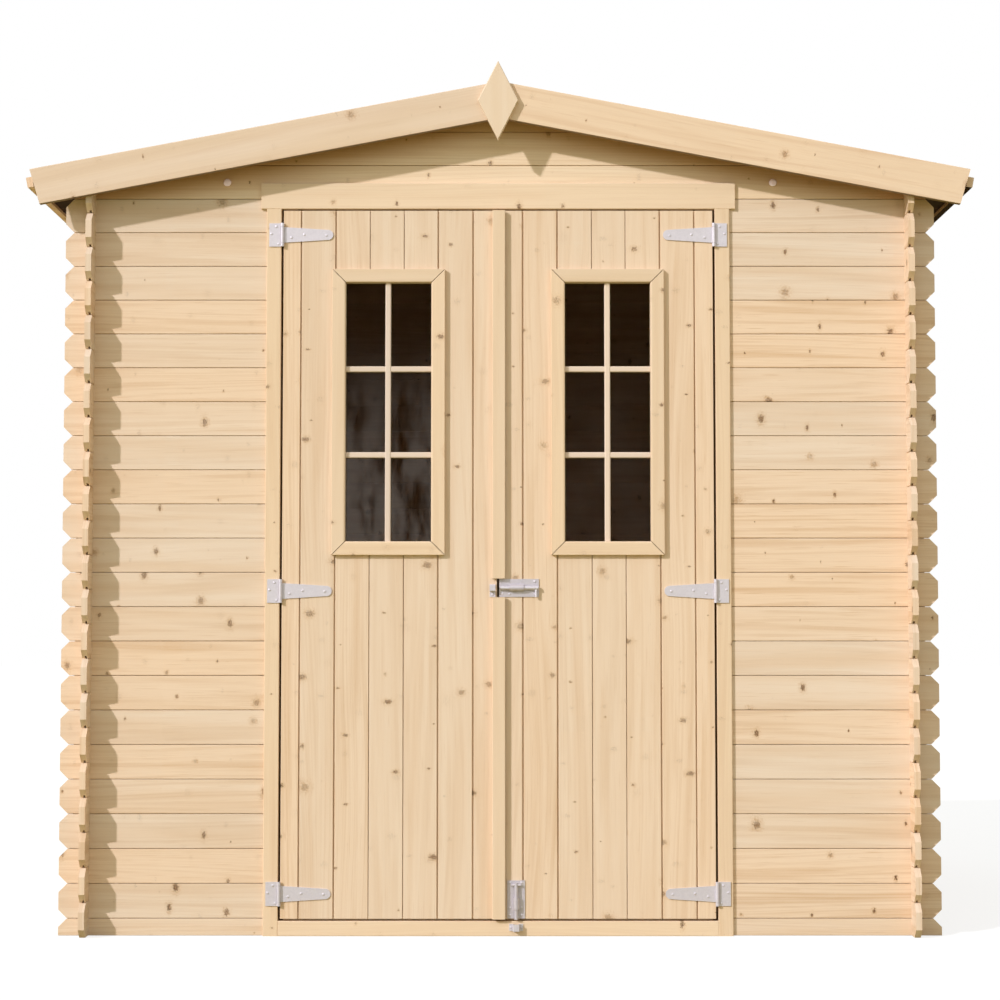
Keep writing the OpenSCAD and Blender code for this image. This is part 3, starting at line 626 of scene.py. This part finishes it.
# fascia: plumb cut at the peak, and a lower end whose cut runs in by a little
def fasciaBoard(sign, nodeName, out, seed):
    low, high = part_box(nodeName)
    down, normal = slopeAxes(sign)
    rear = high.y if out[1] < 0 else low.y
    bottom = fascia["rise"] - fascia["width"]
    section = boardSection(bottom, fascia["rise"], high.y - low.y, fascia["ease"], fascia["ease"])

    def lowerEnd(across, depth):
        return roofLength - fascia["cut"] * (fascia["rise"] - across) / fascia["width"]

    return board(np.array([0, rear, ridgeTop]), down, normal, out, section,
                 lambda across, depth: -across * rise, lowerEnd, seed)


for number, (place, out) in enumerate((("front", -back), ("back", back))):
    for side, sign in (("left", -1), ("right", 1)):
        nodeName = f"{place}_fascia_{side}"
        putPiece(f"{place}Fascia{side.title()}", [fasciaBoard(sign, nodeName, out, 380 + 2 * number + sign)],
                 wood["fascia"], "shed", [nodeName])

# the right batten takes the roof wood, so its underside gets the painted shade; the left one keeps the wall
# wood
for side, sign, kind in (("left", -1, "wall"), ("right", 1, "roof")):
    low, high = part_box("eave_batten_" + side)
    down, normal = slopeAxes(sign)
    section = boardSection(-batten["width"], 0.0, batten["thick"], batten["ease"], batten["ease"])
    place = np.array([0, low.y, ridgeTop]) + roofLength * down
    ends = squareEnd(0.0), squareEnd(high.y - low.y)
    putPiece("eaveBatten" + side.title(), [board(place, back, normal, down, section, *ends, 390 + sign)],
             wood[kind], "shed", ["eave_batten_" + side])

# purlins: flat-topped beams between the gables
purlinEase = 2 * mm
for name, seed in (("ridge_purlin", 400), ("left_purlin", 401), ("right_purlin", 402)):
    low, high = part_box(name)
    middle = (low.z + high.z) / 2
    slack = (high.x - low.x) * rise
    section = boardSection(low.z - middle, high.z - slack - middle, high.x - low.x, purlinEase, purlinEase)
    piece = board(np.array([low.x, low.y, middle]), back, up, right, section,
                  squareEnd(0.0), squareEnd(high.y - low.y), seed)
    putPiece(name.replace("_purlin", "Purlin"), [piece], wood["wall"], "shed", [name])

# diamond at the peak: its outline drawn again in rings, with the front edge eased
diamondEase = 2 * mm
low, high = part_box("diamond")
wide, tall, thick = high.x - low.x, high.z - low.z, high.y - low.y
steps = np.linspace(0, 1, 8, endpoint=False)[:, None]
tips = np.array([[wide / 2, 0], [0, tall / 2], [-wide / 2, 0], [0, -tall / 2]])
outline = np.concatenate([tips[k] + steps * (tips[(k + 1) % 4] - tips[k]) for k in range(4)])
inset = 1 - diamondEase * 2 / (wide * tall / math.hypot(wide, tall))
shares = [1, 1, 1, (1 + inset) / 2, inset, inset]
lifts = [0, 0, thick - diamondEase, thick - 0.3 * diamondEase, thick, thick]
middle = np.array([(low.x + high.x) / 2, high.y, (low.z + high.z) / 2])
putPiece("peakDiamond", [boss(middle, right, up, -back, outline, shares, lifts, 410)],
         wood["planed"], "shed", ["diamond"])
print("roof laid")


# Door frame: eased timbers, each with a stop along its back
def uprightBeam(low, high, ease, seed):
    middle = (low.x + high.x) / 2
    section = boardSection(low.x - middle, high.x - middle, high.y - low.y, ease, ease)
    return board(np.array([middle, high.y, low.z]), up, right, -back, section,
                 squareEnd(0.0), squareEnd(high.z - low.z), seed)


def levelBeam(low, high, ease, seed):
    middle = (low.z + high.z) / 2
    section = boardSection(low.z - middle, high.z - middle, high.y - low.y, ease, ease)
    return board(np.array([low.x, high.y, middle]), right, up, -back, section,
                 squareEnd(0.0), squareEnd(high.x - low.x), seed)


doorFrame = {"ease": 2.0 * mm, "lintelFace": 9 * mm, "lintelLap": 15 * mm, "lintelCoreEase": 0.5 * mm,
             "sill": 39 * mm, "stop": 12 * mm, "stopDeep": 18 * mm, "stopEase": 0.8 * mm}
stop, stopEase = doorFrame["stop"], doorFrame["stopEase"]
doorMiddle = -5 * mm  # the leaves meet left of the wall's middle
sideStops, levelStops = [], []
for side, sign, seed in (("left", -1, 420), ("right", 1, 422)):
    low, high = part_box("door_jamb_" + side)
    post = (low, high - Vector((stop, 0, 0))) if sign < 0 else (low + Vector((stop, 0, 0)), high)
    putPiece("doorJamb" + side.title(), [uprightBeam(*post, doorFrame["ease"], seed)],
             wood["frame"], "shed", ["door_jamb_" + side])
    inner = high.x - stop if sign < 0 else low.x
    stopLow = Vector((inner, high.y - doorFrame["stopDeep"], doorFrame["sill"]))
    sideStops.append(uprightBeam(stopLow, Vector((inner + stop, high.y, high.z)), stopEase, seed + 1))

low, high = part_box("door_sill")
sillTop = Vector((high.x, high.y, doorFrame["sill"]))
putPiece("doorSill", [levelBeam(low, sillTop, doorFrame["ease"], 425)],
         wood["planed"], "shed", ["door_sill"])
stopLow = Vector((low.x + stop, high.y - doorFrame["stopDeep"], doorFrame["sill"]))
levelStops.append(levelBeam(stopLow, high - Vector((stop, 0, 0)), stopEase, 426))

# lintel: a wide face board, a core behind it up to the gable, and the stop below the core
low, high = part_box("door_lintel")
underside, faceBack = low.z + stop, low.y + doorFrame["lintelFace"]
lap = doorFrame["lintelLap"]
faceLow, faceHigh = Vector((low.x, low.y, underside)), Vector((high.x, faceBack, high.z))
lintelFace = levelBeam(faceLow, faceHigh, doorFrame["ease"], 427)
coreLow, coreHigh = Vector((low.x + lap, faceBack, underside)), Vector((high.x - lap, high.y, wallTop))
lintelCore = levelBeam(coreLow, coreHigh, doorFrame["lintelCoreEase"], 428)
putPiece("doorLintel", [lintelFace, lintelCore], wood["planed"], "shed", ["door_lintel"])
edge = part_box("door_jamb_right")[0].x
stopLow = Vector((2 * doorMiddle - edge, high.y - doorFrame["stopDeep"], low.z))
levelStops.append(levelBeam(stopLow, Vector((edge, high.y, underside)), stopEase, 429))
# the side stops are toned dark with the rebate wood as painted shade
putPiece("doorStopsSide", sideStops, wood["rebate"], "shed")
putPiece("doorStopsLevel", levelStops, wood["reveal"], "shed")

# Door leaves: upright boards, cut out round the window; joints and gaps in mm, counted from the
# middle of the doorway
leaf = {"leftJoints": (66, 158, 248, 338, 428.5, 520), "rightJoints": (65, 156, 247, 336, 427, 518),
        "gaps": (3.9, 3.7, 1.9, 1.7, 3.5, 3.4), "ease": 1.2 * mm, "hole": 24 * mm, "topUp": 1.0 * mm}


def leafBoards(sign, side, firstSeed):
    low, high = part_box(side + "_door_boards")
    winLow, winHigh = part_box(side + "_window_frame")
    near, far = sorted(abs(x - doorMiddle) for x in (low.x, high.x))
    winNear, winFar = sorted(abs(x - doorMiddle) for x in (winLow.x, winHigh.x))
    holeNear, holeFar = winNear + leaf["hole"], winFar - leaf["hole"]
    holeLow, holeHigh = winLow.z + leaf["hole"], winHigh.z - leaf["hole"]
    leafTop = high.z + leaf["topUp"]
    edges = [near] + [j * mm for j in leaf[side + "Joints"]] + [far]
    gaps = [0.0] + [g / 2 * mm for g in leaf["gaps"]] + [0.0]
    thick, across = high.y - low.y, sign * right
    parts = []
    for number, (inner, outer) in enumerate(zip(edges[:-1], edges[1:])):
        middle = (inner + outer) / 2
        place = np.array([doorMiddle + sign * middle, high.y, 0])
        cuts = sorted({inner, outer, *(h for h in (holeNear, holeFar) if inner < h < outer)})
        for stripIn, stripOut in zip(cuts[:-1], cuts[1:]):
            first, last = stripIn == inner, stripOut == outer
            start = stripIn - middle + (gaps[number] if first else 0.0)
            end = stripOut - middle - (gaps[number + 1] if last else 0.0)
            eases = [leaf["ease"] if atEdge else 0.0 for atEdge in (first, last)]
            section = boardSection(start, end, thick, *eases)
            inHole = holeNear <= (stripIn + stripOut) / 2 <= holeFar
            for bottom, top in ((low.z, holeLow), (holeHigh, leafTop)) if inHole else ((low.z, leafTop),):
                ends = squareEnd(bottom), squareEnd(top)
                parts.append(board(place, up, across, -back, section, *ends, firstSeed + number))
                if last and gaps[number + 1]:
                    parts.append(tongueStrip(place, up, across, -back, end, thick, *ends, firstSeed + number))
    return parts


# Window bars: mitred, with a lining behind the inner edge that reaches back to the glass.
# A bar's ends run in by its place across: start = across + gap, end = length - across - gap.
window = {"bar": 36 * mm, "cover": 12 * mm, "easeIn": 4.5 * mm, "easeOut": 1.2 * mm, "mitreGap": 1.2 * mm,
          "muntin": 15.2 * mm, "leftMuntin": 289.8 * mm, "rightMuntin": 287.8 * mm,
          "crossAt": (1480.5 * mm, 1253.5 * mm), "muntinSet": 10 * mm, "muntinEase": 3 * mm,
          "crossSet": 1.5 * mm, "crossLap": 1 * mm}
hair = 1e-6  # a back steps over this width, as good as none


def windowBars(side, firstSeed):
    low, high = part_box(side + "_window_frame")
    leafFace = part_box(side + "_door_boards")[0].y
    step, mitre = window["bar"] - window["cover"], window["mitreGap"]
    across, face, _ = boardSection(0.0, window["bar"], leafFace - low.y, window["easeOut"], window["easeIn"],
                                   bends=(step - hair, step))
    rear = np.where(across > step - hair / 2, leafFace - high.y, 0.0)
    corners = np.array([(low.x, 0, low.z), (high.x, 0, low.z), (high.x, 0, high.z), (low.x, 0, high.z)])
    parts = []
    for number in range(4):
        first, last = corners[number], corners[(number + 1) % 4]
        length = np.linalg.norm(last - first)
        along = (last - first) / length
        inward = np.array([-along[2], 0, along[0]])
        ends = (lambda c, d: c + mitre), (lambda c, d, n=length: n - c - mitre)
        parts.append(board(first + leafFace * back, along, inward, -back, (across, face, rear), *ends,
                           firstSeed + number))
    return parts


# glazing bars: rounded strips against the glass, the upright one whole and the others between
def glazingBars(sign, side, firstSeed):
    low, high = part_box(side + "_window_frame")
    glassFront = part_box(side + "_window_glass")[0].y
    front = low.y + window["muntinSet"]
    half, inset = window["muntin"] / 2, window["bar"]
    middle = doorMiddle + sign * window[side + "Muntin"]
    ease, lap = window["muntinEase"], window["crossLap"]
    section = boardSection(-half, half, glassFront - front, ease, ease)
    parts = [board(np.array([middle, glassFront, 0]), up, right, -back, section,
                   squareEnd(low.z + inset), squareEnd(high.z - inset), firstSeed)]
    thinner = boardSection(-half, half, glassFront - front - window["crossSet"], ease, ease)
    for number, height in enumerate(window["crossAt"]):
        for fromX, toX in ((low.x + inset, middle - half + lap), (middle + half - lap, high.x - inset)):
            parts.append(board(np.array([0, glassFront, height]), right, up, -back, thinner,
                               squareEnd(fromX), squareEnd(toX), firstSeed + 1 + number))
    return parts


# three level boards behind each leaf, the middle one at a height of its own
ledge = {"width": 90 * mm, "ease": 2 * mm, "middle": 896 * mm}
ledgeHalf = ledge["width"] / 2
for side, sign, seed in (("left", -1, 440), ("right", 1, 470)):
    body = side + "_door"
    putPiece(side + "DoorBoards", leafBoards(sign, side, seed), wood["door"], body,
             [side + "_door_boards"])
    putPiece(side + "WindowFrame", windowBars(side, seed + 10), wood["frame"], body,
             [side + "_window_frame"])
    putPiece(side + "GlazingBars", glazingBars(sign, side, seed + 15), wood["bar"], body)
    low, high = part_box(side + "_door_ledges")
    section = boardSection(-ledgeHalf, ledgeHalf, high.y - low.y, ledge["ease"], ledge["ease"])
    ledges = []
    for number, middle in enumerate((low.z + ledgeHalf, ledge["middle"], high.z - ledgeHalf)):
        ledges.append(board(np.array([0, low.y, middle]), -right, up, back, section,
                            squareEnd(-high.x), squareEnd(-low.x), seed + 20 + number))
    putPiece(side + "DoorLedges", ledges, wood["wall"], body, [side + "_door_ledges"])

# cover strip: rebated behind, where it passes over the other leaf, and parted at the latch
strip = {"rebate": 5 * mm, "own": 12 * mm, "ease": 2.0 * mm, "part": (879.5 * mm, 928.5 * mm)}
low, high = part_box("cover_strip")
across, face, _ = boardSection(0.0, high.x - low.x, high.y - low.y, strip["ease"], strip["ease"],
                               bends=(strip["own"], strip["own"] + hair))
section = across, face, np.where(across > strip["own"] + hair / 2, strip["rebate"], 0.0)
place = np.array([low.x, high.y, 0])
pieces = [board(place, up, right, -back, section, squareEnd(bottom), squareEnd(top), 500)
          for bottom, top in ((low.z, strip["part"][0]), (strip["part"][1], high.z))]
putPiece("coverStrip", pieces, wood["frame"], "left_door", ["cover_strip"])
print("doors hung")

# finishes of the nodes that show as they are
nodeFinish = {
    "hinge_plates_left": zinc, "hinge_plates_right": zinc, "left_hinge_straps": zinc,
    "right_hinge_straps": zinc, "sill_keeper": zinc, "latch_keeper": zinc, "latch_bolt": zinc,
    "latch_plate": dullZinc, "bottom_bolt": dullZinc, "bottom_bolt_plate": dullZinc,
    "left_window_glass": glassMaterial, "right_window_glass": glassMaterial,
}
for name, material in nodeFinish.items():
    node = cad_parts[name]
    if not node.material_slots:
        node.data.materials.append(material)
    for materialSlot in node.material_slots:
        materialSlot.material = material


# Screws: low domes set into the plates' faces. A ring at a share of the radius is lifted by
# dome * sqrt(1 - flat * share^2), and the first two rings are the sunk edge and the rim.
screw = {"radius": 3.4 * mm, "dome": 1.3 * mm, "flat": 0.8, "sink": 0.4 * mm, "rim": 0.45,
         "shares": [1, 1, 0.9, 0.7, 0.5, 0.3, 0.14]}


def screwHead(x, y, z):
    shares = np.array(screw["shares"])
    lifts = screw["dome"] * np.sqrt(1 - screw["flat"] * shares ** 2)
    lifts[:2] = -screw["sink"], screw["rim"] * screw["dome"]
    return boss(np.array([x, y, z]), right, up, -back, ringOutline(screw["radius"], 20), shares, lifts)


# hinges: screws in mm from the pin, away from the leaf on the plate and along the leaf on the strap
hinge = {"pin": 570 * mm, "thick": 3 * mm, "heights": (109 * mm, 896 * mm, 1837 * mm),
         "plate": ((16, 22), (29, 3), (10, -24)), "strap": ((24, -7), (58, 1), (116, -1))}
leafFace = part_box("left_door_boards")[0].y


def hingeScrews(pin, sign, places):
    face = leafFace - hinge["thick"]
    return [screwHead(pin + sign * u * mm, face, z + v * mm) for z in hinge["heights"] for u, v in places]


for side, sign in (("left", -1), ("right", 1)):
    pin = doorMiddle + sign * hinge["pin"]
    putPiece("hingePlateScrews" + side.title(), hingeScrews(pin, sign, hinge["plate"]),
             zinc, "shed", smooth=True)
    putPiece("hingeStrapScrews" + side.title(), hingeScrews(pin, -sign, hinge["strap"]),
             zinc, side + "_door", smooth=True)

# bolts and keepers: screws in mm from the middle of the doorway and from the ground
plateThick = 2.5 * mm
boltScrews = {"latch": ((96, 921), (96, 888), (11, 889), (30, 888)),
              "foot": ((31, 138), (61, 138), (31, 74), (61, 74), (31, 55), (61, 55)),
              "latchKeeper": ((-14.5, 887),), "sillKeeper": ((33.5, 23), (60.5, 23))}
plateFace = leafFace - plateThick
for name, body, keys in (("boltScrewsRight", "right_door", ("latch", "foot")),
                         ("keeperScrewsLeft", "left_door", ("latchKeeper",)),
                         ("keeperScrewsSill", "shed", ("sillKeeper",))):
    heads = [screwHead(doorMiddle + u * mm, plateFace, v * mm) for key in keys for u, v in boltScrews[key]]
    putPiece(name, heads, zinc, body, smooth=True)

# Gable bolts: a flat round head in front of each side purlin
gableBolt = {"x": 723 * mm, "z": 1978 * mm, "radius": 10.4 * mm,
             "shares": [1, 1, 0.97, 0.92, 0.88, 0.5, 0.1],
             "lifts": np.array([-1, 4.2, 5.2, 5.5, 5.55, 5.65, 5.7]) * mm}
caps = [boss(np.array([s * gableBolt["x"], frontLow.y, gableBolt["z"]]), right, up, -back,
             ringOutline(gableBolt["radius"], 28), gableBolt["shares"], gableBolt["lifts"])
        for s in (-1, 1)]
putPiece("gableBolts", caps, capZinc, "shed", smooth=True)
print("fasteners set")

# Camera from the photo: 5.8 m in front of the wall, a little below the doors' middle, tilted up
view = {"away": 5.8, "height": 0.797, "tilt": 3.34, "focalPixels": 2208, "imagePixels": 1000, "sensor": 36.0}
camera = bpy.data.objects.new("camera", bpy.data.cameras.new("camera"))
scene.collection.objects.link(camera)
camera.location = (0.0, frontLow.y - view["away"], view["height"])
camera.rotation_euler = (math.radians(90 + view["tilt"]), 0.0, 0.0)
camera.data.sensor_width = view["sensor"]
camera.data.lens = view["sensor"] * view["focalPixels"] / view["imagePixels"]
scene.camera = camera

# Light: sun from the upper left front and a pale sky, weaker from the right
white = (1.0, 1.0, 1.0, 1.0)
light = {"sunTravel": (1.135, 1.0, -0.79), "sun": 2.7, "sunColour": (0.93, 0.93, 1.0), "sunAngle": 2.0,
         "sky": 0.57, "skyFront": 0.36, "skyRight": 0.1, "skyColour": (1.0, 1.0, 0.95, 1.0)}
sun = bpy.data.objects.new("sun", bpy.data.lights.new("sun", "SUN"))
scene.collection.objects.link(sun)
sun.rotation_euler = Vector(light["sunTravel"]).to_track_quat("-Z", "Y").to_euler()
sun.data.energy = light["sun"]
sun.data.angle = math.radians(light["sunAngle"])
sun.data.color = light["sunColour"]

world = bpy.data.worlds.new("sky")
scene.world = world
world.use_nodes = True
sky = world.node_tree
rays = addNode(sky, "ShaderNodeLightPath").outputs
mirrored = calc(sky, "MAXIMUM", rays["Is Glossy Ray"], rays["Is Transmission Ray"])
skySeen = calc(sky, "MAXIMUM", rays["Is Camera Ray"], mirrored)
skyPlace = addNode(sky, "ShaderNodeTexCoord").outputs["Generated"]
skyX, skyY, _ = parted(sky, skyPlace)
dome = calc(sky, "MULTIPLY_ADD", calc(sky, "ABSOLUTE", skyY), light["skyFront"], light["sky"])
dome = calc(sky, "MULTIPLY_ADD", skyX, -light["skyRight"], dome)
strength = spread(sky, skySeen, 0.0, 1.0, dome, 1.0)
background = sky.nodes["Background"]
sky.links.new(mixColour(sky, skySeen, light["skyColour"], white), background.inputs["Color"])
sky.links.new(strength, background.inputs["Strength"])

# Floor: throws back a warm light, and is pale only where it is looked at
ground = {"reach": 40.0, "bounce": (0.36, 0.32, 0.11, 1.0), "seen": (0.3, 0.3, 0.3, 1.0), "glow": 0.75,
          "rough": 0.9}
corners = [(x * ground["reach"], y * ground["reach"], 0) for x, y in ((-1, -1), (1, -1), (1, 1), (-1, 1))]
floorMesh = bpy.data.meshes.new("floor")
floorMesh.from_pydata(corners, [], [(0, 1, 2, 3)])
floor = bpy.data.objects.new("floor", floorMesh)
scene.collection.objects.link(floor)
floorMaterial, floorTree, floorShader = newMaterial("paleFloor")
floorRays = addNode(floorTree, "ShaderNodeLightPath").outputs
floorSeen = calc(floorTree, "MAXIMUM", floorRays["Is Camera Ray"], floorRays["Is Transmission Ray"])
shade = mixColour(floorTree, floorSeen, ground["bounce"], ground["seen"])
floorTree.links.new(shade, floorShader.inputs["Base Color"])
floorShader.inputs["Roughness"].default_value = ground["rough"]
floorShader.inputs["Specular IOR Level"].default_value = 0.0
floorShader.inputs["Emission Color"].default_value = white
glow = spread(floorTree, floorSeen, 0.0, 1.0, 0.0, ground["glow"])
floorTree.links.new(glow, floorShader.inputs["Emission Strength"])
floorMesh.materials.append(floorMaterial)

scene.view_settings.view_transform = "Standard"
print("camera, light and floor set")
